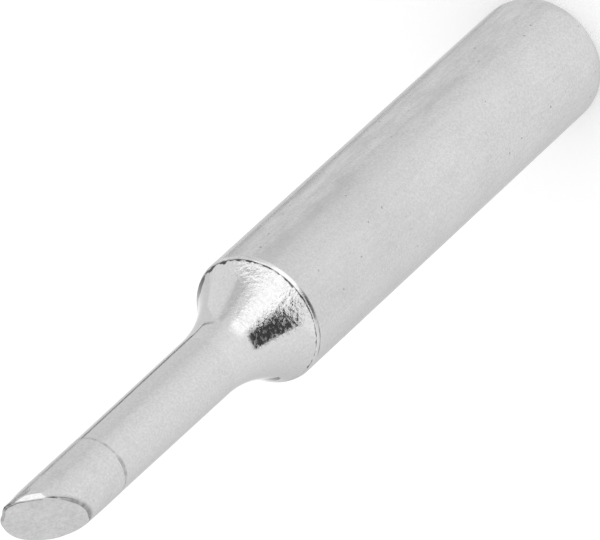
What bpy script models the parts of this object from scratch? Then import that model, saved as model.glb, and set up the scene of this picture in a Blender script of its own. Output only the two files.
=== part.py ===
"""Bevel-ended tip for a soldering iron: one turned, plated copper piece.

The tip stands on its rear face. +Z runs along its axis to the working end,
the origin is the centre of the rear face, and the bevel looks towards -X.
All sizes are in metres.
"""

import math

import bmesh
import bpy
from mathutils import Vector

# Barrel, the straight part that slips over the heater
BARREL_DIAMETER = 0.0063
BARREL_LENGTH = 0.0256

# Rear edge of the barrel, eased by a shallow arc
LEAD_IN_LENGTH = 0.0008
LEAD_IN_DROP = 0.00016

# Rounded rim, where the barrel's side turns into the flare
RIM_ROUND = 0.00027

# Hollow flare between the barrel and the shank
FLARE_RADIUS = 0.0073

# Shank, which tapers slightly towards the working end
SHANK_DIAMETER_AT_FLARE = 0.00306
SHANK_DIAMETER_AT_BEVEL = 0.0030
RIM_TO_BEVEL_CENTRE = 0.01823

# Bevelled working face, with its edge softened by the same width all round
BEVEL_ANGLE_DEG = 41.0
BEVEL_EDGE_WIDTH = 0.00012

# Taper at the shank's end, which starts just above the bevel's centre
BEVEL_CENTRE_TO_TAPER = 0.00015
END_TAPER_ANGLE_DEG = 9.0

# Blind bore for the heater, ending in a drill point
BORE_DIAMETER = 0.0042
BORE_END_TO_RIM = 0.0031
DRILL_POINT_ANGLE_DEG = 118.0
BORE_MOUTH_CHAMFER = 0.0003

# Fineness of the facets
TURN_STEPS = 96
LEAD_IN_STEPS = 4
RIM_STEPS = 4
FLARE_STEPS = 14
EDGE_ROUND_STEPS = 4

MERGE_DISTANCE = 1e-6
SMOOTH_ANGLE_DEG = 30.0

# Sizes that follow from those above
barrel_radius = BARREL_DIAMETER / 2
bore_radius = BORE_DIAMETER / 2
shank_radius = SHANK_DIAMETER_AT_FLARE / 2
end_radius = SHANK_DIAMETER_AT_BEVEL / 2
flare_turn = math.acos(1 - (barrel_radius - shank_radius) / (FLARE_RADIUS + RIM_ROUND))
flare_end_z = BARREL_LENGTH + (FLARE_RADIUS + RIM_ROUND) * math.sin(flare_turn)
bevel_angle = math.radians(BEVEL_ANGLE_DEG)
bevel_centre = Vector((0, 0, BARREL_LENGTH + RIM_TO_BEVEL_CENTRE))
bevel_normal = Vector((-math.cos(bevel_angle), 0, math.sin(bevel_angle)))


def clear_scene():
    for old in list(bpy.data.objects):
        bpy.data.objects.remove(old, do_unlink=True)


def new_collection(name):
    collection = bpy.data.collections.new(name)
    bpy.context.scene.collection.children.link(collection)
    return collection


def plated_metal(name):
    material = bpy.data.materials.new(name)
    material.use_nodes = True
    shader = material.node_tree.nodes["Principled BSDF"]
    shader.inputs["Base Color"].default_value = (0.72, 0.72, 0.72, 1)
    shader.inputs["Metallic"].default_value = 1.0
    shader.inputs["Roughness"].default_value = 0.32
    return material


def end_taper_points():
    """Tapered end of the blank, from the top down.

    The blank stands above the bevel's centre by a fifth more than the nose
    of a plain bevelled rod would.
    """
    start_z = bevel_centre.z + BEVEL_CENTRE_TO_TAPER
    top_z = bevel_centre.z + 1.2 * end_radius / math.tan(bevel_angle)
    drawn_in = (top_z - start_z) * math.tan(math.radians(END_TAPER_ANGLE_DEG))
    return [(end_radius - drawn_in, top_z), (end_radius, start_z)]


def flare_points():
    """Arc from the shank down to the rim, tangent to both."""
    points = []
    for step in range(FLARE_STEPS + 1):
        turn = flare_turn * step / FLARE_STEPS
        radius = shank_radius + FLARE_RADIUS * (1 - math.cos(turn))
        points.append((radius, flare_end_z - FLARE_RADIUS * math.sin(turn)))
    return points


def rim_points():
    """Arc from the flare's lower end down to the barrel's side, tangent to both."""
    points = []
    for step in range(1, RIM_STEPS + 1):
        turn = flare_turn * (1 - step / RIM_STEPS)
        radius = barrel_radius - RIM_ROUND * (1 - math.cos(turn))
        points.append((radius, BARREL_LENGTH + RIM_ROUND * math.sin(turn)))
    return points


def lead_in_points():
    """Arc from the barrel's side down to the rear face, tangent to the side."""
    arc_radius = (LEAD_IN_LENGTH ** 2 + LEAD_IN_DROP ** 2) / (2 * LEAD_IN_DROP)
    arc_turn = math.asin(LEAD_IN_LENGTH / arc_radius)
    points = []
    for step in range(LEAD_IN_STEPS + 1):
        turn = arc_turn * step / LEAD_IN_STEPS
        radius = barrel_radius - arc_radius * (1 - math.cos(turn))
        points.append((radius, LEAD_IN_LENGTH - arc_radius * math.sin(turn)))
    return points


def bore_points():
    """From the chamfered mouth in the rear face up to the drill point's apex."""
    bore_end = BARREL_LENGTH - BORE_END_TO_RIM
    point_height = bore_radius / math.tan(math.radians(DRILL_POINT_ANGLE_DEG / 2))
    return [
        (bore_radius + BORE_MOUTH_CHAMFER, 0),
        (bore_radius, BORE_MOUTH_CHAMFER),
        (bore_radius, bore_end),
        (0, bore_end + point_height),
    ]


def turned_profile():
    """Half section of the blank, from the top of the axis down the outside."""
    end_taper = end_taper_points()
    top_centre = [(0, end_taper[0][1])]
    outside = end_taper + flare_points() + rim_points() + lead_in_points()
    return top_centre + outside + bore_points()


def make_blank(name, collection):
    mesh = bpy.data.meshes.new(name)
    points = [(x, 0, z) for x, z in turned_profile()]
    mesh.from_pydata(points, [(i, i + 1) for i in range(len(points) - 1)], [])
    blank = bpy.data.objects.new(name, mesh)
    collection.objects.link(blank)
    turn = blank.modifiers.new("turning", "SCREW")
    turn.axis = "Z"
    turn.angle = math.tau
    turn.steps = TURN_STEPS
    turn.render_steps = TURN_STEPS
    turn.use_merge_vertices = True
    turn.merge_threshold = MERGE_DISTANCE
    return blank


def make_bevel_cutter(collection):
    """Block whose lower face lies in the plane of the bevel, twice as wide as the oval."""
    oval_length = SHANK_DIAMETER_AT_BEVEL / math.sin(bevel_angle)
    side = 2 * oval_length
    bpy.ops.mesh.primitive_cube_add(size=side)
    cutter = bpy.context.object
    cutter.name = "bevel_cutter"
    cutter.location = bevel_centre + bevel_normal * side / 2
    cutter.rotation_euler = (0, bevel_angle - math.pi / 2, 0)
    for owner in list(cutter.users_collection):
        owner.objects.unlink(cutter)
    collection.objects.link(cutter)
    cutter.hide_render = True
    cutter.display_type = "WIRE"
    return cutter


def cut_bevel(blank, cutter):
    """Cut the working face and keep the result as the object's own mesh."""
    cut = blank.modifiers.new("bevel", "BOOLEAN")
    cut.operation = "DIFFERENCE"
    cut.object = cutter
    cut.solver = "EXACT"
    bpy.context.view_layer.update()
    evaluated = blank.evaluated_get(bpy.context.evaluated_depsgraph_get())
    mesh = bpy.data.meshes.new_from_object(evaluated)
    blank.modifiers.clear()
    blank.data = mesh
    mesh.name = blank.name


def soften_bevel_edge(tip):
    """Round the edge of the working face by one width, so the nose stays crispest."""
    shape = bmesh.new()
    shape.from_mesh(tip.data)
    weights = shape.edges.layers.float.new("bevel_weight_edge")
    for edge in shape.edges:
        heights = [(v.co - bevel_centre).dot(bevel_normal) for v in edge.verts]
        if max(abs(h) for h in heights) < MERGE_DISTANCE:
            edge[weights] = 1.0
    shape.to_mesh(tip.data)
    shape.free()
    rounding = tip.modifiers.new("edge_round", "BEVEL")
    rounding.limit_method = "WEIGHT"
    rounding.offset_type = "OFFSET"
    rounding.width = BEVEL_EDGE_WIDTH
    rounding.segments = EDGE_ROUND_STEPS


def build():
    clear_scene()
    parts = new_collection("soldering_iron_tip")
    cutters = new_collection("cutters")
    tip = make_blank("soldering_tip", parts)
    cut_bevel(tip, make_bevel_cutter(cutters))
    soften_bevel_edge(tip)
    tip.data.materials.clear()
    tip.data.materials.append(plated_metal("plated_tip"))
    tip.data.shade_smooth()
    tip.data.set_sharp_from_angle(angle=math.radians(SMOOTH_ANGLE_DEG))


build()
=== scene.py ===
import math

import bpy
from mathutils import Matrix, Vector


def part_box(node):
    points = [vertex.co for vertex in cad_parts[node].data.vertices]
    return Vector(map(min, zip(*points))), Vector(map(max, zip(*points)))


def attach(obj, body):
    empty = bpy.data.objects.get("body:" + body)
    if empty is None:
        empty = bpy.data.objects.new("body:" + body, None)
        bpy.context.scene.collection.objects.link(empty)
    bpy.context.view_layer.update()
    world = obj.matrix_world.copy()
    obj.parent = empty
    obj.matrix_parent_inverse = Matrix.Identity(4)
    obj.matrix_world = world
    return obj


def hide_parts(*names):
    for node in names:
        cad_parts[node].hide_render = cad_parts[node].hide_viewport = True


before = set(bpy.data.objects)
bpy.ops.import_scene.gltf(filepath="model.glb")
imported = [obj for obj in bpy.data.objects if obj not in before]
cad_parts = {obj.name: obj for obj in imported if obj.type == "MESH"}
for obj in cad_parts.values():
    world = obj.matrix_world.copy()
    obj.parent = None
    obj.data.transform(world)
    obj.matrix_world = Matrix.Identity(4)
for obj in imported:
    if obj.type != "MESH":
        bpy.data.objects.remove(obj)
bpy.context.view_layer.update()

mm = 0.001
scene = bpy.context.scene


# Small helpers for node trees, used by the materials, the world and the shape
def makeNode(tree, kind, **settings):
    node = tree.nodes.new(kind)
    for name, value in settings.items():
        setattr(node, name, value)
    return node


def feed(tree, socket, value):  # value is a number, a tuple, a material or another node's output
    if isinstance(value, bpy.types.NodeSocket):
        tree.links.new(value, socket)
    else:
        socket.default_value = value


def calc(tree, operation, *values, clamp=False):
    node = makeNode(tree, "ShaderNodeMath", operation=operation, use_clamp=clamp)
    for socket, value in zip(node.inputs, values):
        feed(tree, socket, value)
    return node.outputs[0]


def product(tree, first, *others):
    for other in others:
        first = calc(tree, "MULTIPLY", first, other)
    return first


def vectorCalc(tree, operation, *values):
    node = makeNode(tree, "ShaderNodeVectorMath", operation=operation)
    for socket, value in zip(node.inputs, values):
        feed(tree, socket, value)
    return node.outputs["Value" if operation == "DOT_PRODUCT" else "Vector"]


def scaled(tree, vector, factor):
    node = makeNode(tree, "ShaderNodeVectorMath", operation="SCALE")
    feed(tree, node.inputs[0], vector)
    feed(tree, node.inputs["Scale"], factor)
    return node.outputs[0]


def joinXyz(tree, x, y, z):
    node = makeNode(tree, "ShaderNodeCombineXYZ")
    for socket, value in zip(node.inputs, (x, y, z)):
        feed(tree, socket, value)
    return node.outputs[0]


def splitXyz(tree, vector):
    node = makeNode(tree, "ShaderNodeSeparateXYZ")
    feed(tree, node.inputs[0], vector)
    return node.outputs


def remap(tree, value, low, high, toLow=0.0, toHigh=1.0, kind="SMOOTHSTEP"):
    node = makeNode(tree, "ShaderNodeMapRange", interpolation_type=kind)
    for socket, part in zip(node.inputs, (value, low, high, toLow, toHigh)):
        feed(tree, socket, part)
    return node.outputs[0]


def noise(tree, place, scale, detail, roughness):
    node = makeNode(tree, "ShaderNodeTexNoise")
    feed(tree, node.inputs["Vector"], place)
    node.inputs["Scale"].default_value = scale
    node.inputs["Detail"].default_value = detail
    node.inputs["Roughness"].default_value = roughness
    return node.outputs[0]


def swing(tree, value):  # how far a noise lies above or below its middle
    return calc(tree, "SUBTRACT", value, 0.5)


def plainGrey(tone):
    return (tone, tone, tone, 1)


# Camera: a long lens looking down on the standing tip, rolled as in the photograph
cameraView = {
    "azimuth": -11.94,  # degrees, 0 looks along +Y
    "elevation": 46.46,
    "roll": -132.55,
    "aim": (0.3455, -0.0731, 21.56),  # mm
    "distance": 445.98,  # mm
    "lens": 604.14,  # mm, for a sensor of the width below
    "sensor": 36,  # mm
    "clipStart": 50,  # mm
    "clipEnd": 5000,  # mm
}


def makeCamera(view):
    turn, rise = math.radians(view["azimuth"]), math.radians(view["elevation"])
    back = Vector((math.sin(turn) * math.cos(rise), -math.cos(turn) * math.cos(rise), math.sin(rise)))
    camera = bpy.data.objects.new("photoCamera", bpy.data.cameras.new("photoCamera"))
    scene.collection.objects.link(camera)
    roll = Matrix.Rotation(math.radians(view["roll"]), 4, "Z")
    rolled = back.to_track_quat("Z", "Y").to_matrix().to_4x4() @ roll
    stand = (Vector(view["aim"]) + back * view["distance"]) * mm
    camera.matrix_world = Matrix.Translation(stand) @ rolled
    camera.data.lens = view["lens"]
    camera.data.sensor_width = view["sensor"]
    camera.data.clip_start = view["clipStart"] * mm
    camera.data.clip_end = view["clipEnd"] * mm
    scene.camera = camera


makeCamera(cameraView)
scene.view_settings.view_transform = "Standard"
print("camera made")


# Studio: a white tent as the metal sees it. Azimuth and rise are in degrees round the standing tip,
# and a patch's soft says how wide its lower and its upper sides fade
tent = {
    "walls": (  # azimuth, tone
        (0, 0.89), (20, 0.87), (45, 0.81), (56, 0.84), (62, 0.90), (70, 0.97), (80, 0.99), (92, 0.83),
        (104, 0.73), (120, 0.81), (142, 0.92), (178, 1.03), (215, 1.08), (250, 1.11), (285, 1.05),
        (307, 0.985), (325, 0.885), (340, 0.9)),
    "gapRise": (  # azimuth, rise of the dark gap below the walls
        (0, -34), (14, -36.5), (20, -40.5), (28, -44.6), (36, -45.4), (50, -49), (60, -51), (300, -27),
        (331, -29)),
    "gapWidth": (  # azimuth, half the gap's width
        (0, 0.4), (14, 0.7), (24, 0.85), (30, 0.9), (38, 0.65), (46, 0.3), (56, 0.2), (66, 0), (336, 0),
        (352, 0.4)),
    "gapLeast": 0.05,  # no gap where it is narrower than this
    "gapTone": 0.1,
    "gapSoft": 0.5,
    "patches": {  # each lies over those before it
        "sideEnd": {"azimuth": (344, 361), "rise": (-28, 15), "soft": (6, 1), "tone": 1.0},
        "sideStart": {"azimuth": (-1, 32), "rise": (-28, 15), "soft": (1, 6), "tone": 1.0},
        "glow": {"azimuth": (150, 350), "rise": (15, 75), "soft": (6, 18), "tone": 1.2},
        "shade": {"azimuth": (323, 338), "rise": (-26, 9), "soft": (1.5, 2), "tone": 0.74},
        "upper": {"azimuth": (247, 346), "rise": (12, 60), "soft": (8, 24), "tone": 1.45},
        "panel": {"azimuth": (252, 297), "rise": (-24.5, 38), "soft": (12, 12), "tone": 1.55},
        "card": {"azimuth": (204, 245), "rise": (-22.6, 14.5), "soft": (1, 1), "tone": 0.07, "lean": 0.06},
    },
}


def window(tree, angle, low, high, softLow, softHigh):  # 1 from low to high, 0 outside
    up = remap(tree, angle, low - softLow / 2, low + softLow / 2)
    down = remap(tree, angle, high - softHigh / 2, high + softHigh / 2, 1.0, 0.0)
    return product(tree, up, down)


def insidePatch(tree, azimuth, rise, patch):  # 1 inside a patch of the tent, 0 outside
    inside = window(tree, azimuth, *patch["azimuth"], *patch["soft"])
    if "lean" in patch:  # the lower side climbs along the patch, the upper side stays level
        along = calc(tree, "SUBTRACT", azimuth, patch["azimuth"][0])
        leaning = calc(tree, "MULTIPLY_ADD", along, -patch["lean"], rise)
        half = patch["soft"][0] / 2
        start = remap(tree, leaning, patch["rise"][0] - half, patch["rise"][0] + half)
        inside = product(tree, inside, start)
    return product(tree, inside, window(tree, rise, *patch["rise"], *patch["soft"]))


def blended(tree, share, first, second):
    return calc(tree, "MULTIPLY_ADD", share, calc(tree, "SUBTRACT", second, first), first)


def roundTheTent(tree, azimuth, pairs):  # a value that changes with the azimuth, as (degrees, value)
    low = min(value for angle, value in pairs)
    span = max(value for angle, value in pairs) - low
    ramp = makeNode(tree, "ShaderNodeValToRGB")
    ramp.color_ramp.interpolation = "LINEAR"
    stops = ramp.color_ramp.elements
    pairs = list(pairs) + [(360, pairs[0][1])]
    while len(stops) < len(pairs):
        stops.new(0.5)  # moved to its place below
    for stop, (angle, value) in zip(stops, pairs):
        share = (value - low) / span
        stop.position = angle / 360
        stop.color = (share, share, share, 1)
    feed(tree, ramp.inputs[0], calc(tree, "DIVIDE", azimuth, 360.0))
    return calc(tree, "MULTIPLY_ADD", ramp.outputs[0], span, low)


def makeTent(look):
    world = bpy.data.worlds.new("studioTent")
    scene.world = world
    world.use_nodes = True
    tree = world.node_tree
    tree.nodes.clear()
    direction = makeNode(tree, "ShaderNodeTexCoord").outputs["Generated"]
    x, y, z = splitXyz(tree, vectorCalc(tree, "NORMALIZE", direction))
    turn = calc(tree, "DEGREES", calc(tree, "ARCTAN2", y, x))
    azimuth = calc(tree, "FLOORED_MODULO", turn, 360.0)
    rise = calc(tree, "DEGREES", calc(tree, "ARCSINE", z))
    tone = roundTheTent(tree, azimuth, look["walls"])
    for patch in look["patches"].values():
        tone = blended(tree, insidePatch(tree, azimuth, rise, patch), tone, patch["tone"])
    gapRise = roundTheTent(tree, azimuth, look["gapRise"])
    gapWidth = roundTheTent(tree, azimuth, look["gapWidth"])
    off = calc(tree, "ABSOLUTE", calc(tree, "SUBTRACT", rise, gapRise))
    inGap = calc(tree, "SUBTRACT", off, gapWidth)
    inGap = remap(tree, inGap, -look["gapSoft"], look["gapSoft"], 1.0, 0.0)
    inGap = product(tree, inGap, calc(tree, "GREATER_THAN", gapWidth, look["gapLeast"]))
    tone = blended(tree, inGap, tone, look["gapTone"])
    seenTent = makeNode(tree, "ShaderNodeBackground")
    feed(tree, seenTent.inputs["Color"], tone)
    plainWhite = makeNode(tree, "ShaderNodeBackground")
    plainWhite.inputs["Color"].default_value = (1, 1, 1, 1)
    choice = makeNode(tree, "ShaderNodeMixShader")
    feed(tree, choice.inputs[0], makeNode(tree, "ShaderNodeLightPath").outputs["Is Glossy Ray"])
    feed(tree, choice.inputs[1], plainWhite.outputs[0])
    feed(tree, choice.inputs[2], seenTent.outputs[0])
    feed(tree, makeNode(tree, "ShaderNodeOutputWorld").inputs["Surface"], choice.outputs[0])


makeTent(tent)


# Floor: white to the camera apart from the shadow of the tip, and clear to reflections
floorLook = {
    "size": 600,  # mm
    "paint": 0.93,
    "lift": 0.14,  # a little light of its own
}


def makeFloor(look):
    bpy.ops.mesh.primitive_grid_add(x_subdivisions=2, y_subdivisions=2, size=look["size"] * mm)
    floor = bpy.context.object
    floor.name = "paleFloor"
    material = bpy.data.materials.new("floorPaint")
    material.use_nodes = True
    tree = material.node_tree
    tree.nodes.clear()
    paint = makeNode(tree, "ShaderNodeBsdfDiffuse")
    paint.inputs["Color"].default_value = plainGrey(look["paint"])
    lift = makeNode(tree, "ShaderNodeEmission")
    lift.inputs["Strength"].default_value = look["lift"]
    both = makeNode(tree, "ShaderNodeAddShader")
    feed(tree, both.inputs[0], paint.outputs[0])
    feed(tree, both.inputs[1], lift.outputs[0])
    clear = makeNode(tree, "ShaderNodeBsdfTransparent")
    choice = makeNode(tree, "ShaderNodeMixShader")
    feed(tree, choice.inputs[0], makeNode(tree, "ShaderNodeLightPath").outputs["Is Glossy Ray"])
    feed(tree, choice.inputs[1], both.outputs[0])
    feed(tree, choice.inputs[2], clear.outputs[0])
    feed(tree, makeNode(tree, "ShaderNodeOutputMaterial").inputs["Surface"], choice.outputs[0])
    floor.data.materials.append(material)


makeFloor(floorLook)
print("studio made")


# Finishes, all on the tip's own Object coordinates in mm. What their dictionaries hold:
# patterns are noises, as how far drawn out round the axis and along it (1 is not at all, less is
# longer), then scale, detail and roughness; tones is how much each one moves the colour between dark
# and light; relief is its height in mm; gloss is the range of roughness; and a side is an azimuth
# with the cosines at which it begins and is full
glossSwing = (0.35, 0.65)  # the part of a noise that carries the gloss from end to end


def pattern(tree, place, around, along, scale, detail, roughness):
    drawnOut = vectorCalc(tree, "MULTIPLY", place, (around, around, along))
    return noise(tree, drawnOut, scale, detail, roughness)


def pits(tree, place, spacing, radius):  # 1 in the middle of a scattered round pit, 0 outside
    cells = makeNode(tree, "ShaderNodeTexVoronoi", feature="F1")
    feed(tree, cells.inputs["Vector"], place)
    cells.inputs["Scale"].default_value = 1 / spacing
    return remap(tree, cells.outputs["Distance"], 0.0, radius / spacing, 1.0, 0.0)


def placeInMm(tree):
    return scaled(tree, makeNode(tree, "ShaderNodeTexCoord").outputs["Object"], 1 / mm)


def beginFinish(name, look):  # gives the material, its tree and its patterns
    material = bpy.data.materials.new(name)
    material.use_nodes = True
    tree = material.node_tree
    place = placeInMm(tree)
    patterns = {kind: pattern(tree, place, *values) for kind, values in look["patterns"].items()}
    if "pits" in look:
        patterns["pits"] = pits(tree, place, *look["pits"])
    return material, tree, patterns


def onSide(tree, place, azimuth, begins, full, *becomes):  # 1 on the side that looks to this azimuth
    return remap(tree, facing(tree, place, azimuth), begins, full, *becomes)


def facing(tree, place, degrees):  # the cosine of the angle between the place's azimuth and this one
    parts = splitXyz(tree, place)
    sideways = vectorCalc(tree, "NORMALIZE", joinXyz(tree, parts["X"], parts["Y"], 0.0))
    angle = math.radians(degrees)
    return vectorCalc(tree, "DOT_PRODUCT", sideways, (math.cos(angle), math.sin(angle), 0.0))


def sideFall(tree, place, degrees, half):  # 0 at this azimuth, and 1 where it is half degrees away
    away = calc(tree, "SUBTRACT", 1.0, facing(tree, place, degrees))
    return calc(tree, "DIVIDE", away, 1 - math.cos(math.radians(half)))


def swingSum(tree, patterns, amounts):  # 0.5 plus each pattern's swing about its middle
    total = 0.5
    for name, amount in amounts.items():
        total = calc(tree, "MULTIPLY_ADD", swing(tree, patterns[name]), amount, total)
    return total


def heightSum(tree, patterns, amounts):
    total = 0.0
    for name, amount in amounts.items():
        total = calc(tree, "MULTIPLY_ADD", patterns[name], amount, total)
    return total


def mixedColour(tree, share, first, second):  # inputs 6 and 7 and output 2 are the mix's colours
    mix = makeNode(tree, "ShaderNodeMix", data_type="RGBA")
    feed(tree, mix.inputs["Factor"], share)
    feed(tree, mix.inputs[6], first)
    feed(tree, mix.inputs[7], second)
    return mix.outputs[2]


def metalColour(tree, share, look):
    return mixedColour(tree, share, plainGrey(look["dark"]), plainGrey(look["light"]))


def toned(tree, colour, share, tone):  # the colour drawn towards one grey
    return mixedColour(tree, share, colour, plainGrey(tone))


def pitted(tree, colour, patterns, look):
    return toned(tree, colour, product(tree, patterns["pits"], look["pitShare"]), look["pitTone"])


def lined(tree, colour, look):  # dark lines that the shape carries, at the bevel's edge, seam and rim; the one in the rim's crease is painted shade
    line = makeNode(tree, "ShaderNodeAttribute", attribute_name="darkLine").outputs["Fac"]
    return toned(tree, colour, line, look["lineTone"])


def glossOf(tree, value, look):
    return remap(tree, value, *glossSwing, *look["gloss"])


def endFinish(tree, colour, gloss, height):  # height in mm
    shader = tree.nodes["Principled BSDF"]
    shader.inputs["Metallic"].default_value = 1.0
    feed(tree, shader.inputs["Base Color"], colour)
    feed(tree, shader.inputs["Roughness"], gloss)
    bump = makeNode(tree, "ShaderNodeBump")
    bump.inputs["Strength"].default_value = 1.0
    bump.inputs["Distance"].default_value = mm
    feed(tree, bump.inputs["Height"], height)
    feed(tree, shader.inputs["Normal"], bump.outputs[0])


# Painted shade along the rim's crease, with darker blots on the flare against it
rimShadeAndBlots = {
    "crease": 25.80,  # height in mm
    "reach": 0.15,  # mm that a blot of size 1 reaches from its middle
    "patches": (  # azimuth, half width in degrees, size, mm above the crease
        (303.5, 3.5, 0.5, 0), (329.5, 5.5, 0.75, 0), (345.5, 8, 0.9, 0), (360, 5, 1.2, 0.05),
        (371, 13, 2.0, 0.12), (386, 12, 2.6, 0.2), (141, 13, 2.6, 0.75)),
    "pattern": (1, 1, 1 / 0.3, 3.0, 0.5),  # as in the finishes
    "ragged": 2.0,
    "fade": (-0.35, 0.05),  # from bare metal to full darkness
    "thickSide": (300, 0.2, 0.6),
    "thinner": 0.14,  # off the line's thickness away from that side
}


def creaseShadeAndBlots(tree, place, look):  # painted shade along the rim's crease on the flare, thicker on one side, with darker blots along it
    height = splitXyz(tree, place)["Z"]
    outwards = calc(tree, "DIVIDE", calc(tree, "SUBTRACT", height, look["crease"]), look["reach"])
    thinner = onSide(tree, place, *look["thickSide"], look["thinner"], 0.0)
    total = calc(tree, "SUBTRACT", product(tree, outwards, -1.0), thinner)
    for azimuth, half, size, lift in look["patches"]:
        across = product(tree, sideFall(tree, place, azimuth, half), size)
        off = calc(tree, "ABSOLUTE", calc(tree, "SUBTRACT", outwards, lift / look["reach"]))
        blot = calc(tree, "SUBTRACT", size, calc(tree, "ADD", across, off))
        total = calc(tree, "MAXIMUM", total, blot)
    ragged = swing(tree, pattern(tree, place, *look["pattern"]))
    return remap(tree, calc(tree, "MULTIPLY_ADD", ragged, look["ragged"], total), *look["fade"])


streakLook = {
    "places": ((293, 17.5, 26.5), (297, 7.0, 12.2)),  # azimuth, from and to in mm
    "halfWidth": 4.5,  # degrees
    "pattern": (1, 0.25, 1.2, 4.0, 0.65),
    "ragged": 9.0,
    "sides": (-0.5, 3.5),  # full up to the first and gone at the second
    "ends": 1.5,  # mm
    "share": 0.22,
    "tone": 0.45,
}


def streaksAndDarkReflection(tree, place, look):  # two darker streaks along the barrel's upper side, partly the plating's own streaks and partly a painted dark reflection
    height = splitXyz(tree, place)["Z"]
    ragged = swing(tree, pattern(tree, place, *look["pattern"]))
    total = 0.0
    for azimuth, low, high in look["places"]:
        across = sideFall(tree, place, azimuth, look["halfWidth"])
        across = calc(tree, "MULTIPLY_ADD", ragged, look["ragged"], across)
        sides = remap(tree, across, *look["sides"], 1.0, 0.0)
        start = remap(tree, height, low, low + look["ends"])
        end = remap(tree, height, high - look["ends"], high, 1.0, 0.0)
        total = calc(tree, "MAXIMUM", total, product(tree, sides, start, end))
    return product(tree, total, look["share"])


barrelFinish = {
    "dark": 0.50,
    "light": 0.77,
    "gloss": (0.21, 0.29),
    "patterns": {
        "streaks": (1, 0.07, 1.5, 3.0, 0.5),
        "fibres": (1, 0.14, 5.0, 3.0, 0.6),
        "clouds": (1, 1, 0.45, 3.0, 0.5),
        "grain": (1, 1, 8.0, 3.0, 0.75),
        "scuffs": (1, 0.2, 2.6, 4.0, 0.65),
    },
    "tones": {"streaks": 0.3, "clouds": 0.35, "fibres": 0.3, "grain": 1.3},
    "relief": {"fibres": 0.006, "grain": 0.004, "pits": -0.02},
    "pits": (0.85, 0.08),  # spacing and radius in mm
    "pitShare": 0.75,
    "pitTone": 0.2,
    "lineTone": 0.05,
    "scuffSide": (312, 0.88, 0.97),
    "scuffTones": 1.3,
    "crestSide": (276, 0.87, 0.93),  # a paler stretch of the rim
    "crestHeight": (25.56, 25.62),  # mm
    "crestTone": 0.8,
    "greySide": (262, 0.6, 0.85),  # greyer towards the rim
    "greyHeight": (13.0, 19.0),  # mm
    "greyShare": 0.18,
    "greyTone": 0.45,
}


def makeBarrelPlating(look):
    material, tree, patterns = beginFinish("satinBarrelPlating", look)
    place = placeInMm(tree)
    height = splitXyz(tree, place)["Z"]
    scuffSide = onSide(tree, place, *look["scuffSide"])
    scuffs = product(tree, swing(tree, patterns["scuffs"]), look["scuffTones"], scuffSide)
    share = calc(tree, "ADD", swingSum(tree, patterns, look["tones"]), scuffs)
    crestSide = onSide(tree, place, *look["crestSide"])
    crest = product(tree, remap(tree, height, *look["crestHeight"]), crestSide)
    greySide = onSide(tree, place, *look["greySide"], 0.0, look["greyShare"])
    grey = product(tree, greySide, remap(tree, height, *look["greyHeight"]))
    colour = toned(tree, metalColour(tree, share, look), crest, look["crestTone"])
    colour = toned(tree, colour, grey, look["greyTone"])
    colour = pitted(tree, colour, patterns, look)
    # partly the plating's own streaks, partly a painted dark reflection
    colour = toned(tree, colour, streaksAndDarkReflection(tree, place, streakLook), streakLook["tone"])
    gloss = glossOf(tree, patterns["streaks"], look)
    endFinish(tree, lined(tree, colour, look), gloss, heightSum(tree, patterns, look["relief"]))
    return material


shankFinish = {
    "dark": 0.49,
    "light": 0.74,
    "gloss": (0.10, 0.15),
    "patterns": {
        "streaks": (1, 0.1, 2.0, 3.0, 0.5),
        "fibres": (1, 0.2, 6.0, 3.0, 0.6),
        "grain": (1, 1, 8.5, 3.0, 0.75),
    },
    "tones": {"streaks": 0.15, "fibres": 0.15, "grain": 1.3},
    "relief": {"fibres": 0.002, "grain": 0.0025, "pits": -0.01},
    "pits": (1.0, 0.05),
    "pitShare": 0.5,
    "pitTone": 0.2,
    "lineTone": 0.06,
}


def makeShankPlating(look):
    material, tree, patterns = beginFinish("satinShankPlating", look)
    colour = metalColour(tree, swingSum(tree, patterns, look["tones"]), look)
    colour = lined(tree, pitted(tree, colour, patterns, look), look)
    gloss = glossOf(tree, patterns["streaks"], look)
    endFinish(tree, colour, gloss, heightSum(tree, patterns, look["relief"]))
    return material


flareFinish = {
    "dark": 0.52,
    "light": 0.76,
    "gloss": (0.05, 0.10),
    "patterns": {
        "clouds": (1, 1, 2.5, 3.0, 0.6),
        "grain": (1, 1, 8.5, 3.0, 0.75),
        "ridges": (0.55, 1, 8.0, 2.0, 0.6),
        "peel": (1, 1, 5.5, 2.0, 0.5),
        "spots": (0.6, 1, 8.0, 2.0, 0.6),
    },
    "tones": {"clouds": 0.2, "grain": 1.2},
    "relief": {"grain": 0.0012},
    "roughRelief": {"ridges": 0.030, "peel": 0.012, "grain": 0.005},
    "pits": (1.1, 0.05),
    "pitShare": 0.5,
    "pitTone": 0.2,
    "lineTone": 0.05,
    # tone of the painted shade in the rim's crease and of its blots
    "shadeAndBlotTone": 0.06,
    "roughSide": (266, 0.77, 0.93),
    "roughHeight": (28.1, 28.9),  # mm
    "roughLeast": 0.2,  # above that height
    "calmSide": (236, 0.9, 0.985),  # with lower ridges
    "calmShare": 0.3,
    "smoothSide": (225, 0.8, 0.92),  # with less relief towards the shank
    "smoothHeight": (27.6, 28.6),
    "smoothShare": 0.35,
    "rimSide": (292, 0.6, 0.75),  # with more peel near the rim
    "rimHeight": (26.9, 26.2),  # from nothing down to full
    "rimPeel": 0.035,
    "rimLeast": 0.15,
    "spotSide": (262, 0.72, 0.8),  # dull spots
    "spotSwing": (0.46, 0.6),
    "spotHeight": (28.4, 28.7),  # from full up to nothing
    "spotGloss": 0.24,
}


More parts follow.
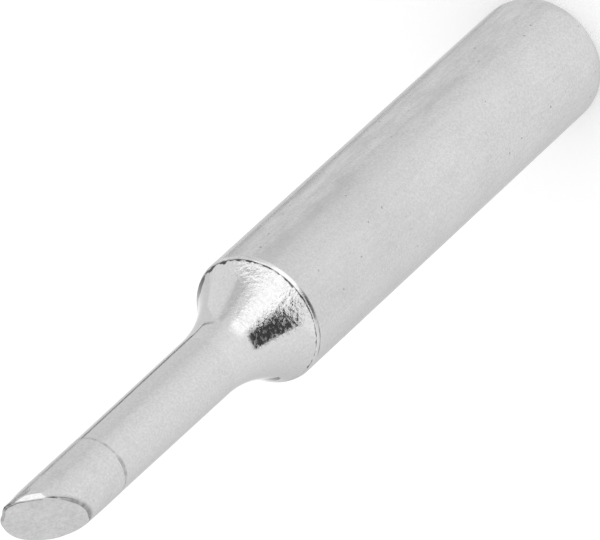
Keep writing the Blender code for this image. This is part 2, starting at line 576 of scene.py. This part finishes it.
def flareRelief(tree, place, patterns, look):
    height = splitXyz(tree, place)["Z"]
    roughSide = onSide(tree, place, *look["roughSide"])
    smoother = remap(tree, height, *look["smoothHeight"], 0.0, 1 - look["smoothShare"])
    smoother = product(tree, smoother, onSide(tree, place, *look["smoothSide"]))
    fading = remap(tree, height, *look["roughHeight"], 1.0, look["roughLeast"])
    fading = calc(tree, "SUBTRACT", fading, smoother, clamp=True)
    calm = onSide(tree, place, *look["calmSide"])
    calm = calc(tree, "MULTIPLY_ADD", calm, look["calmShare"] - 1, 1.0)
    calmed = {**patterns, "ridges": product(tree, patterns["ridges"], calm)}
    rough = heightSum(tree, calmed, look["roughRelief"])
    rough = product(tree, rough, roughSide, fading)
    rimSide = onSide(tree, place, *look["rimSide"])
    rimShare = calc(tree, "MULTIPLY_ADD", rimSide, 1 - look["rimLeast"], look["rimLeast"])
    nearRim = remap(tree, height, *look["rimHeight"])
    peel = product(tree, patterns["peel"], nearRim, rimShare, look["rimPeel"])
    fine = heightSum(tree, patterns, look["relief"])
    return calc(tree, "ADD", calc(tree, "ADD", fine, rough), peel)


def makeFlarePlating(look):
    material, tree, patterns = beginFinish("brightFlarePlating", look)
    place = placeInMm(tree)
    height = splitXyz(tree, place)["Z"]
    colour = metalColour(tree, swingSum(tree, patterns, look["tones"]), look)
    colour = pitted(tree, colour, patterns, look)
    # painted shade in the rim's crease, with darker blots
    colour = toned(tree, colour, creaseShadeAndBlots(tree, place, rimShadeAndBlots), look["shadeAndBlotTone"])
    spotSide = onSide(tree, place, *look["spotSide"])
    belowShank = remap(tree, height, *look["spotHeight"], 1.0, 0.0)
    spots = product(tree, remap(tree, patterns["spots"], *look["spotSwing"]), spotSide, belowShank)
    gloss = glossOf(tree, patterns["clouds"], look)
    gloss = calc(tree, "MULTIPLY_ADD", spots, look["spotGloss"], gloss)
    endFinish(tree, lined(tree, colour, look), gloss, flareRelief(tree, place, patterns, look))
    return material


tinFinish = {
    "dark": 0.50,
    "light": 0.75,
    "gloss": (0.17, 0.27),
    "patterns": {
        "clouds": (1, 1, 1.1, 3.0, 0.55),
        "swell": (1, 1, 1.6, 2.0, 0.5),
        "grain": (1, 1, 8.0, 3.0, 0.75),
    },
    "tones": {"clouds": 0.7, "grain": 1.4},
    "relief": {"swell": 0.006, "grain": 0.003},
    "lineTone": 0.05,
}


def makeTinning(look):
    material, tree, patterns = beginFinish("tinnedCoat", look)
    colour = lined(tree, metalColour(tree, swingSum(tree, patterns, look["tones"]), look), look)
    gloss = glossOf(tree, patterns["clouds"], look)
    endFinish(tree, colour, gloss, heightSum(tree, patterns, look["relief"]))
    return material


faceFinish = {
    "dark": 0.52,
    "light": 0.78,
    "gloss": (0.25, 0.36),
    "patterns": {
        "clouds": (1, 1, 1.2, 3.0, 0.6),
        "mottle": (1, 1, 4.5, 3.0, 0.6),
        "grain": (1, 1, 8.0, 3.0, 0.75),
    },
    "tones": {"clouds": 0.6, "mottle": 0.9, "grain": 1.2},
    "relief": {"mottle": 0.003, "grain": 0.0015},
    "lineTone": 0.05,
}


def makeWorkingFace(look):
    material, tree, patterns = beginFinish("mottledWorkingFace", look)
    colour = lined(tree, metalColour(tree, swingSum(tree, patterns, look["tones"]), look), look)
    gloss = glossOf(tree, patterns["mottle"], look)
    endFinish(tree, colour, gloss, heightSum(tree, patterns, look["relief"]))
    return material


boreFinish = {
    "dark": 0.2,
    "light": 0.34,
    "gloss": (0.35, 0.5),
    "patterns": {"rings": (0.1, 1, 5.0, 3.0, 0.5)},
    "toneSwing": (0.3, 0.7),
    "relief": {"rings": 0.004},
}


def makeBoreWall(look):
    material, tree, patterns = beginFinish("drilledBoreWall", look)
    colour = metalColour(tree, remap(tree, patterns["rings"], *look["toneSwing"]), look)
    gloss = glossOf(tree, patterns["rings"], look)
    endFinish(tree, colour, gloss, heightSum(tree, patterns, look["relief"]))
    return material


finishes = {
    "face": makeWorkingFace(faceFinish),
    "tinned": makeTinning(tinFinish),
    "shank": makeShankPlating(shankFinish),
    "flare": makeFlarePlating(flareFinish),
    "barrel": makeBarrelPlating(barrelFinish),
    "bore": makeBoreWall(boreFinish),
}
zoneNumber = {zone: number for number, zone in enumerate(finishes)}
print("finishes made:", ", ".join(m.name for m in finishes.values()))


# The tip itself, in mm: a half section turned by Geometry Nodes, its end shaped to the bevel.
# Azimuths are in degrees round the tip, with the nose at 360
tip = {
    "barrelRadius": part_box("soldering_tip")[1].x / mm,
    "barrelLength": 25.6,
    "leadInLength": 0.8,
    "leadInDrop": 0.16,
    "rimLow": 25.58,  # height where its arc begins
    "rimRound": 0.32,
    "rimTurn": 42,  # degrees
    "rimWander": 0.035,
    "creaseWidth": 0.05,
    "creaseDepth": 0.045,
    "flareRadius": 7.3,
    "shankRadius": 1.53,
    "tipRadius": 1.5,
    "tinThickness": 0.004,
    "seamHeight": 39.32,
    "seamTilt": 0.07,
    "seamTiltSide": 265,
    "seamWave": 0.14,
    "rimToBevelCentre": 18.23,
    "bevelAngle": 41.0,
    "edgeRound": 0.05,
    "heelRound": 0.1,
    "heelSpan": (-0.5, -0.9),  # how far towards the nose, as a cosine
    "edgeFlat": 0.2,
    "flatTurn": (0.62, 0.36),  # at the heel and at the nose, as shares of the edge's turn
    "flatTurnArc": (262, 282),
    "noseWear": 0.24,
    "noseWearArc": (345, 422, 32, 60),  # from, to, and how soft at either end
    "heelWear": 0.05,
    "heelWearSide": (149, 0.86, 1.0),  # a side as in the finishes
    "wearLength": 1.6,
    "wearCurve": 1.5,  # above 1 the wear fades sooner below the edge
    "boreRadius": 2.1,
    "boreEndToRim": 3.1,
    "drillPoint": 118.0,
    "boreChamfer": 0.3,
    "roundSteps": 256,
    "weldDistance": 0.0002,
    "sharpAngle": 32,
}
bevelCentre = tip["barrelLength"] + tip["rimToBevelCentre"]

# Along the bevel's edge: from, to, amount, softness. Flats are shares of edgeFlat, bulges are in mm
edgeFlats = ((190, 258, 0.6, 14), (258, 276, 0.25, 10), (286, 312, 1.0, 12))
edgeBulges = ((285, 314, 0.07, 14),)
# How dark the lines are along the bevel's edge and just inside the face at the nose: from, to, amount,
# softness
edgeDarkening = ((182, 260, 0.62, 10), (260, 278, 0.32, 6), (318, 340, 0.85, 8), (340, 374, 0.35, 8))
noseDarkening = ((286, 308, 0.5, 8), (308, 322, 0.75, 8), (322, 342, 1.0, 6), (342, 374, 0.5, 8))

# Round the tip, each as a noise's scale, detail and roughness, with the range of it that is used
# and what that becomes
roundPatterns = {
    "edgeLine": ((9.0, 3.0, 0.5), (0.3, 0.7, 0.7, 1.2)),
    "seamLine": ((4.0, 4.0, 0.65), (0.35, 0.65, 0.06, 0.42)),
    "seamBand": ((6.0, 3.0, 0.5), (0.3, 0.7, 0.12, 0.5)),
    "rimLine": ((12.0, 3.0, 0.7), (0.36, 0.62, 0.05, 0.8)),
    "footLine": ((5.0, 3.0, 0.6), (0.35, 0.65, 0.3, 0.9)),
    "creaseDepth": ((5.0, 2.0, 0.5), (0.3, 0.7, 0.3, 1.2)),
}
seamWaver = (2.6, 4.0, 0.6)
rimWaver = (7.0, 3.0, 0.6)
seamBandArc = (210, 250, 16, 24)  # from, to, and how soft at either end
footLineArc = (190, 256, 10, 12)
creaseOpening = ((224, 250, 0.15, 0.5), (325, 342, 0.0, 0.5))  # azimuths, and the shares they add to the crease's depth and to its painted shade

# The section's rows of points, and how the layers that they carry fade from row to row. The layer
# called part tells which rule places a point: 0 is turned, 1 tinned and 2 on the bevel
rowCounts = {"face": 24, "edge": 6, "tin": 36, "shank": 40, "flare": 110, "rim": 10, "barrel": 40,
             "leadIn": 10, "rear": 6, "chamfer": 3, "bore": 16, "drillPoint": 8}
rowFades = {
    "faceCurve": 1.5,  # above 1 the rows crowd towards the face's edge
    "noseLine": (0.025, 0.035),  # middle and half width, as shares of the face's radius
    "noseLineBelow": 0.6,  # where the face ends
    "edgeLine": (1, 0.85, 0.55),  # after the upper arc, the flat and the lower arc
    "edgeLineFade": 12,  # over the tin's whole length
    "tinEnd": 0.015,  # share of the tin's length where the step at the seam begins
    "seamStep": ((0.009, 0.8, 0.4), (0.005, 0.2, 0.9), (0, -0.9, 1)),  # share, coat, seam line
    "belowSeam": (  # mm, seam line, seam band
        (0.02, 1, 1), (0.045, 1, 1), (0.08, 0.8, 1), (0.12, 0, 1), (0.17, 0, 0.7), (0.22, 0, 0)),
    "seamPullFade": 8,  # over the shank's whole length
    "rimPullFade": 2.5,  # for each mm up the flare
    "rimLineFade": 22,  # for each mm up the flare
    "rimPullBelow": 0.5,  # over the rim's arc
    "rimLineBelow": 6,  # over the rim's arc
    "footLine": (0.75, 0.25),  # middle and half width on the rim's arc
}
sectionLayers = ("part", "zone", "faceShare", "upperArc", "lowerArc", "flatShare", "tinShare", "seamPull",
                 "rimPull", "crease", "edgeLine", "noseLine", "seamLine", "seamBand", "rimLine", "footLine")


def steps(count):
    return [i / count for i in range(1, count + 1)]


def between(start, end, share):
    return start + (end - start) * share


def fadedFrom(middle, half, value):  # 1 in the middle, 0 from half away
    return max(0, 1 - abs(value - middle) / half)


def station(zone, radius, height, **layers):
    return {"zone": zoneNumber[zone], "radius": radius, "height": height, **layers}


def workingEnd():  # from the face's middle over its edge to the seam
    rows = []
    radius = tip["tipRadius"]
    afterUpper, afterFlat, afterLower = rowFades["edgeLine"]
    for s in [0] + steps(rowCounts["face"]):
        inset = (1 - s) ** rowFades["faceCurve"]
        rows.append(station("face", radius, 0, part=2, faceShare=inset, upperArc=1, lowerArc=1,
                            flatShare=1, noseLine=fadedFrom(*rowFades["noseLine"], inset)))
    for s in steps(rowCounts["edge"]):
        rows.append(station("tinned", radius, 0, part=2, upperArc=1 - s, lowerArc=1, flatShare=1,
                            edgeLine=min(afterUpper, s * 2), noseLine=max(0, rowFades["noseLineBelow"] - s)))
    for s in steps(rowCounts["edge"]):
        rows.append(station("tinned", radius, 0, part=2, lowerArc=1, flatShare=1 - s,
                            edgeLine=between(afterUpper, afterFlat, s)))
    for s in steps(rowCounts["edge"]):
        rows.append(station("tinned", radius, 0, part=2, lowerArc=1 - s,
                            edgeLine=between(afterFlat, afterLower, s)))
    for s in steps(rowCounts["tin"]):
        rows.append(station("tinned", radius, 0, part=1, tinShare=between(1, rowFades["tinEnd"], s),
                            edgeLine=max(0, afterLower - s * rowFades["edgeLineFade"])))
    for share, coat, line in rowFades["seamStep"]:
        rows.append(station("tinned", radius + tip["tinThickness"] * (coat - 1), 0, part=1,
                            tinShare=share, seamLine=line, seamBand=1))
    return rows


def rimTop():  # where the flare meets the rim, as radius and height
    turn = math.radians(tip["rimTurn"])
    radius = tip["barrelRadius"] - tip["rimRound"] * (1 - math.cos(turn))
    return radius, tip["rimLow"] + tip["rimRound"] * math.sin(turn)


def flareTurn():
    return math.acos(1 - (rimTop()[0] - tip["shankRadius"]) / tip["flareRadius"])


def flareTop():
    return rimTop()[1] + tip["flareRadius"] * math.sin(flareTurn())


def shankAndFlare():
    shankRadius, flareRadius = tip["shankRadius"], tip["flareRadius"]
    bareRadius = tip["tipRadius"] - tip["tinThickness"]
    rows = []
    for below, line, band in rowFades["belowSeam"]:
        rows.append(station("shank", bareRadius, tip["seamHeight"] - below, seamPull=1, seamLine=line,
                            seamBand=band))
    top = rows[-1]["height"]
    for s in steps(rowCounts["shank"]):
        rows.append(station("shank", between(bareRadius, shankRadius, s), between(top, flareTop(), s),
                            seamPull=max(0, 1 - s * rowFades["seamPullFade"])))
    last = flareTurn() - tip["creaseWidth"] / 2 / flareRadius
    for s in steps(rowCounts["flare"]):
        radius = shankRadius + flareRadius * (1 - math.cos(last * s))
        toCrease = flareRadius * last * (1 - s)
        rows.append(station("flare", radius, flareTop() - flareRadius * math.sin(last * s),
                            rimPull=max(0, 1 - toCrease * rowFades["rimPullFade"]),
                            rimLine=max(0, 1 - toCrease * rowFades["rimLineFade"])))
    return rows


def rimAndBarrel():
    barrelRadius, rimRound = tip["barrelRadius"], tip["rimRound"]
    rows = [station("flare", *rimTop(), rimPull=1, crease=1, rimLine=1)]
    first = math.radians(tip["rimTurn"]) - tip["creaseWidth"] / 2 / rimRound
    for s in [0] + steps(rowCounts["rim"]):
        angle = first * (1 - s)
        rows.append(station("barrel", barrelRadius - rimRound * (1 - math.cos(angle)),
                            tip["rimLow"] + rimRound * math.sin(angle),
                            rimPull=1 - s * rowFades["rimPullBelow"],
                            rimLine=max(0, 1 - s * rowFades["rimLineBelow"]),
                            footLine=fadedFrom(*rowFades["footLine"], s)))
    leadIn, drop = tip["leadInLength"], tip["leadInDrop"]
    for s in steps(rowCounts["barrel"]):
        rows.append(station("barrel", barrelRadius, between(tip["rimLow"], leadIn, s)))
    arcRadius = (leadIn ** 2 + drop ** 2) / (2 * drop)
    arcTurn = math.asin(leadIn / arcRadius)
    for s in steps(rowCounts["leadIn"]):
        rows.append(station("barrel", barrelRadius - arcRadius * (1 - math.cos(arcTurn * s)),
                            leadIn - arcRadius * math.sin(arcTurn * s)))
    mouth = tip["boreRadius"] + tip["boreChamfer"]
    for s in steps(rowCounts["rear"]):
        rows.append(station("barrel", between(barrelRadius - drop, mouth, s), 0))
    return rows


def boreWall():
    radius, chamfer = tip["boreRadius"], tip["boreChamfer"]
    end = tip["barrelLength"] - tip["boreEndToRim"]
    pointRise = radius / math.tan(math.radians(tip["drillPoint"] / 2))
    rows = []
    for s in steps(rowCounts["chamfer"]):
        rows.append(station("bore", radius + chamfer * (1 - s), chamfer * s))
    for s in steps(rowCounts["bore"]):
        rows.append(station("bore", radius, between(chamfer, end, s)))
    for s in steps(rowCounts["drillPoint"]):
        rows.append(station("bore", radius * (1 - s), end + pointRise * s))
    return rows


def sectionObject(rows):
    mesh = bpy.data.meshes.new("halfSection")
    points = [(row["radius"] * mm, 0, row["height"] * mm) for row in rows]
    mesh.from_pydata(points, [(i, i + 1) for i in range(len(points) - 1)], [])
    for name in sectionLayers:
        layer = mesh.attributes.new(name, "FLOAT", "POINT")
        layer.data.foreach_set("value", [float(row.get(name, 0)) for row in rows])
    section = bpy.data.objects.new("turnedTip", mesh)
    scene.collection.objects.link(section)
    return section


treeInputs = {
    "Round Steps": tip["roundSteps"],
    "Tip Radius": tip["tipRadius"] * mm,
    "Bevel Centre": bevelCentre * mm,
    "Bevel Angle": math.radians(tip["bevelAngle"]),
    "Edge Round": tip["edgeRound"] * mm,
    "Heel Round": tip["heelRound"] * mm,
    "Edge Flat": tip["edgeFlat"] * mm,
    "Heel Flat Turn": tip["flatTurn"][0],
    "Nose Flat Turn": tip["flatTurn"][1],
    "Nose Wear": tip["noseWear"] * mm,
    "Heel Wear": tip["heelWear"] * mm,
    "Wear Length": tip["wearLength"] * mm,
    "Wear Curve": tip["wearCurve"],
    "Crease Depth": tip["creaseDepth"] * mm,
    "Rim Wander": tip["rimWander"] * mm,
    "Seam Height": tip["seamHeight"] * mm,
    "Seam Tilt": tip["seamTilt"] * mm,
    "Seam Wave": tip["seamWave"] * mm,
}


def named(tree, name):
    node = makeNode(tree, "GeometryNodeInputNamedAttribute", data_type="FLOAT")
    node.inputs[0].default_value = name
    return node.outputs["Attribute"]


def captured(tree, geometry, vector):
    node = makeNode(tree, "GeometryNodeCaptureAttribute")
    node.capture_items.new("VECTOR", "value")
    feed(tree, node.inputs[0], geometry)
    feed(tree, node.inputs[1], vector)
    return node.outputs[0], node.outputs[1]


def above(tree, value, limit):
    node = makeNode(tree, "FunctionNodeCompare", data_type="FLOAT", operation="GREATER_THAN")
    feed(tree, node.inputs[0], value)
    node.inputs[1].default_value = limit
    return node.outputs[0]


def chosen(tree, condition, no, yes):
    node = makeNode(tree, "GeometryNodeSwitch", input_type="VECTOR")
    for socket, value in zip(node.inputs, (condition, no, yes)):
        feed(tree, socket, value)
    return node.outputs[0]


def fedGeometry(tree, kind, geometry, **values):  # a geometry node with its inputs, and its result
    node = makeNode(tree, kind)
    feed(tree, node.inputs[0], geometry)
    for name, value in values.items():
        feed(tree, node.inputs[name], value)
    return node.outputs[0]


def lathe(tree, given):  # the swept section, each point's station and its unit spoke
    position = makeNode(tree, "GeometryNodeInputPosition").outputs[0]
    path = fedGeometry(tree, "GeometryNodeMeshToCurve", given["Geometry"])
    path, place = captured(tree, path, position)
    circle = makeNode(tree, "GeometryNodeCurvePrimitiveCircle")
    feed(tree, circle.inputs["Resolution"], given["Round Steps"])
    circle.inputs["Radius"].default_value = 1.0
    wheel, spoke = captured(tree, circle.outputs[0], position)
    sweep = makeNode(tree, "GeometryNodeCurveToMesh")
    feed(tree, sweep.inputs["Curve"], path)
    feed(tree, sweep.inputs["Profile Curve"], wheel)
    return sweep.outputs[0], place, spoke


def onAxis(tree, height):
    return joinXyz(tree, 0.0, 0.0, height)


def azimuthOf(tree, spoke):  # 90 to 450 degrees, so that the camera's side comes before the nose
    parts = splitXyz(tree, spoke)
    turn = calc(tree, "DEGREES", calc(tree, "ARCTAN2", parts["Y"], parts["X"]))
    turn = calc(tree, "FLOORED_MODULO", calc(tree, "SUBTRACT", turn, 90.0), 360.0)
    return calc(tree, "ADD", turn, 90.0)


def alongEdge(tree, azimuth, arcs):  # adds up the amounts of the arcs that hold this azimuth
    total = 0.0
    for low, high, amount, soft in arcs:
        total = calc(tree, "MULTIPLY_ADD", window(tree, azimuth, low, high, soft, soft), amount, total)
    return total


def wornAway(tree, given, spoke):  # how far the worn nose and heel lie inside, less the tin's bulge
    azimuth = azimuthOf(tree, spoke)
    nose = product(tree, window(tree, azimuth, *tip["noseWearArc"]), given["Nose Wear"])
    heel = onSide(tree, spoke, *tip["heelWearSide"])
    worn = calc(tree, "MULTIPLY_ADD", heel, given["Heel Wear"], nose)
    return calc(tree, "MULTIPLY_ADD", alongEdge(tree, azimuth, edgeBulges), -mm, worn)


def mixedDirection(tree, first, ofFirst, second, ofSecond):
    mixed = vectorCalc(tree, "ADD", scaled(tree, first, ofFirst), scaled(tree, second, ofSecond))
    return vectorCalc(tree, "NORMALIZE", mixed)


def turnedTo(tree, spoke, planeNormal, turn, share):  # the spoke turned a share of the way to the normal
    rest = product(tree, turn, calc(tree, "SUBTRACT", 1.0, share))
    done = product(tree, turn, share)
    return mixedDirection(tree, spoke, calc(tree, "SINE", rest), planeNormal, calc(tree, "SINE", done))


def alongTurn(tree, spoke, planeNormal, turn, share):  # the way in which that direction is turning
    rest = product(tree, turn, calc(tree, "SUBTRACT", 1.0, share))
    done = product(tree, turn, share)
    back = product(tree, calc(tree, "COSINE", rest), -1.0)
    return mixedDirection(tree, spoke, back, planeNormal, calc(tree, "COSINE", done))


def bevelEdge(tree, given, spoke):  # balls touching shank and bevel, with a narrow flat between
    cosine = calc(tree, "COSINE", given["Bevel Angle"])
    sine = calc(tree, "SINE", given["Bevel Angle"])
    azimuth = azimuthOf(tree, spoke)
    towardsNose = splitXyz(tree, spoke)["X"]
    heel = remap(tree, towardsNose, *tip["heelSpan"])
    ball = blended(tree, heel, given["Edge Round"], given["Heel Round"])
    flat = product(tree, alongEdge(tree, azimuth, edgeFlats), given["Edge Flat"])
    flatTurn = remap(tree, azimuth, *tip["flatTurnArc"], given["Heel Flat Turn"], given["Nose Flat Turn"])
    planeNormal = joinXyz(tree, product(tree, cosine, -1.0), 0.0, sine)
    wholeTurn = calc(tree, "ARCCOSINE", vectorCalc(tree, "DOT_PRODUCT", spoke, planeNormal))
    afterFlat = product(tree, wholeTurn, calc(tree, "SUBTRACT", 1.0, flatTurn))
    reach = calc(tree, "MULTIPLY_ADD", flat, calc(tree, "SINE", afterFlat), ball)
    endRadius = calc(tree, "SUBTRACT", given["Tip Radius"], wornAway(tree, given, spoke))
    ballPath = calc(tree, "SUBTRACT", endRadius, ball)
    rise = calc(tree, "DIVIDE", product(tree, ballPath, towardsNose, cosine), sine)
    rise = calc(tree, "SUBTRACT", rise, calc(tree, "DIVIDE", reach, sine))
    ballHeight = calc(tree, "ADD", given["Bevel Centre"], rise)
    edge = vectorCalc(tree, "ADD", scaled(tree, spoke, ballPath), onAxis(tree, ballHeight))
    flatStep = product(tree, flat, named(tree, "flatShare"))
    flatDirection = alongTurn(tree, spoke, planeNormal, wholeTurn, flatTurn)
    edge = vectorCalc(tree, "ADD", edge, scaled(tree, flatDirection, flatStep))
    share = blended(tree, flatTurn, named(tree, "upperArc"), named(tree, "lowerArc"))
    outwards = turnedTo(tree, spoke, planeNormal, wholeTurn, share)
    edge = vectorCalc(tree, "ADD", edge, scaled(tree, outwards, ball))
    inwards = vectorCalc(tree, "SUBTRACT", onAxis(tree, given["Bevel Centre"]), edge)
    return vectorCalc(tree, "ADD", edge, scaled(tree, inwards, named(tree, "faceShare"))), ballHeight


def unevenRound(tree, spoke, name):  # a value that wavers round the tip
    grit, becomes = roundPatterns[name]
    return remap(tree, noise(tree, spoke, *grit), *becomes)


def creaseShare(tree, azimuth):  # the crease is open, with deep painted shade, on one side, and almost closed on the other
    first, second = creaseOpening
    return calc(tree, "ADD", remap(tree, azimuth, *first), remap(tree, azimuth, *second))


def darkLines(tree, spoke):  # along the bevel's edge, round the seam, in the crease and at its foot; the line in the crease is painted shade
    azimuth = azimuthOf(tree, spoke)
    uneven = unevenRound(tree, spoke, "edgeLine")
    depths = {
        "edgeLine": product(tree, alongEdge(tree, azimuth, edgeDarkening), uneven),
        "noseLine": product(tree, alongEdge(tree, azimuth, noseDarkening), uneven),
        "seamLine": unevenRound(tree, spoke, "seamLine"),
    }
    for layer, share in (("seamBand", window(tree, azimuth, *seamBandArc)),
                         ("rimLine", creaseShare(tree, azimuth)),
                         ("footLine", window(tree, azimuth, *footLineArc))):
        depths[layer] = product(tree, unevenRound(tree, spoke, layer), share)
    lines = 0.0
    for layer, depth in depths.items():
        lines = calc(tree, "MAXIMUM", lines, product(tree, named(tree, layer), depth))
    return lines


def rimWear(tree, given, spoke):  # the crease wanders along the flare's slope and varies in depth
    sine, cosine = math.sin(flareTurn()), math.cos(flareTurn())
    along = vectorCalc(tree, "ADD", onAxis(tree, cosine), scaled(tree, spoke, -sine))
    inwards = vectorCalc(tree, "ADD", onAxis(tree, -sine), scaled(tree, spoke, -cosine))
    wander = product(tree, swing(tree, noise(tree, spoke, *rimWaver)), 2.0)  # from -1 to 1
    wander = product(tree, wander, given["Rim Wander"], named(tree, "rimPull"))
    depth = product(tree, unevenRound(tree, spoke, "creaseDepth"), creaseShare(tree, azimuthOf(tree, spoke)))
    depth = product(tree, depth, given["Crease Depth"], named(tree, "crease"))
    return vectorCalc(tree, "ADD", scaled(tree, along, wander), scaled(tree, inwards, depth))


def seamWander(tree, given, spoke):  # the seam between the tin and the bare shank leans and wavers
    angle = math.radians(tip["seamTiltSide"])
    lean = vectorCalc(tree, "DOT_PRODUCT", spoke, (math.cos(angle), math.sin(angle), 0.0))
    lean = product(tree, lean, given["Seam Tilt"])
    return calc(tree, "MULTIPLY_ADD", swing(tree, noise(tree, spoke, *seamWaver)), given["Seam Wave"], lean)


def placedPoints(tree, given, place, spoke):  # where each point of the lathe's mesh goes
    radius, height = splitXyz(tree, place)["X"], splitXyz(tree, place)["Z"]
    edge, edgeHeight = bevelEdge(tree, given, spoke)
    rim = scaled(tree, spoke, radius)
    seamShift = seamWander(tree, given, spoke)
    turnedHeight = calc(tree, "MULTIPLY_ADD", named(tree, "seamPull"), seamShift, height)
    turned = vectorCalc(tree, "ADD", rim, onAxis(tree, turnedHeight))
    turned = vectorCalc(tree, "ADD", turned, rimWear(tree, given, spoke))
    seam = calc(tree, "ADD", given["Seam Height"], seamShift)
    tinHeight = blended(tree, named(tree, "tinShare"), seam, edgeHeight)
    belowEdge = calc(tree, "SUBTRACT", edgeHeight, tinHeight)
    fade = remap(tree, belowEdge, 0.0, given["Wear Length"], 1.0, 0.0, "LINEAR")
    fade = calc(tree, "POWER", fade, given["Wear Curve"])
    worn = product(tree, wornAway(tree, given, spoke), fade)
    tinned = vectorCalc(tree, "SUBTRACT", rim, scaled(tree, spoke, worn))
    tinned = vectorCalc(tree, "ADD", tinned, onAxis(tree, tinHeight))
    below = chosen(tree, above(tree, named(tree, "part"), 0.5), turned, tinned)
    return chosen(tree, above(tree, named(tree, "part"), 1.5), below, edge)


def turningTree():
    tree = bpy.data.node_groups.new("turnAndBevel", "GeometryNodeTree")
    tree.interface.new_socket("Geometry", in_out="INPUT", socket_type="NodeSocketGeometry")
    for name, value in treeInputs.items():
        kind = "NodeSocketInt" if isinstance(value, int) else "NodeSocketFloat"
        tree.interface.new_socket(name, in_out="INPUT", socket_type=kind)
    tree.interface.new_socket("Geometry", in_out="OUTPUT", socket_type="NodeSocketGeometry")
    given = makeNode(tree, "NodeGroupInput").outputs
    shape, place, spoke = lathe(tree, given)
    moved = placedPoints(tree, given, place, spoke)
    shape = fedGeometry(tree, "GeometryNodeSetPosition", shape, Position=moved)
    shape = fedGeometry(tree, "GeometryNodeStoreNamedAttribute", shape, Name="darkLine",
                        Value=darkLines(tree, spoke))
    shape = fedGeometry(tree, "GeometryNodeMergeByDistance", shape, Distance=tip["weldDistance"] * mm)
    shape = fedGeometry(tree, "GeometryNodeSetShadeSmooth", shape)
    shape = fedGeometry(tree, "GeometryNodeRealizeInstances", shape)
    for number, finish in enumerate(finishes.values()):  # a face between two zones takes the later one
        later = {"Selection": above(tree, named(tree, "zone"), number - 0.75)} if number else {}
        shape = fedGeometry(tree, "GeometryNodeSetMaterial", shape, Material=finish, **later)
    feed(tree, makeNode(tree, "NodeGroupOutput").inputs[0], shape)
    return tree


def buildTip():
    section = sectionObject(workingEnd() + shankAndFlare() + rimAndBarrel() + boreWall())
    modifier = section.modifiers.new("turning", "NODES")
    modifier.node_group = turningTree()
    for item in modifier.node_group.interface.items_tree:
        if item.in_out == "INPUT" and item.name in treeInputs:
            modifier[item.identifier] = treeInputs[item.name]
    bpy.context.view_layer.update()
    evaluated = section.evaluated_get(bpy.context.evaluated_depsgraph_get())
    mesh = bpy.data.meshes.new_from_object(evaluated)
    bpy.data.objects.remove(section)
    for name in sectionLayers:
        mesh.attributes.remove(mesh.attributes[name])
    mesh.set_sharp_from_angle(angle=math.radians(tip["sharpAngle"]))
    piece = bpy.data.objects.new("turnedTip", mesh)
    scene.collection.objects.link(piece)
    print("tip turned:", len(mesh.polygons), "faces, flare begins at", round(flareTop(), 2), "mm")
    return piece


turnedTip = buildTip()
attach(turnedTip, "root")
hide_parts("soldering_tip")
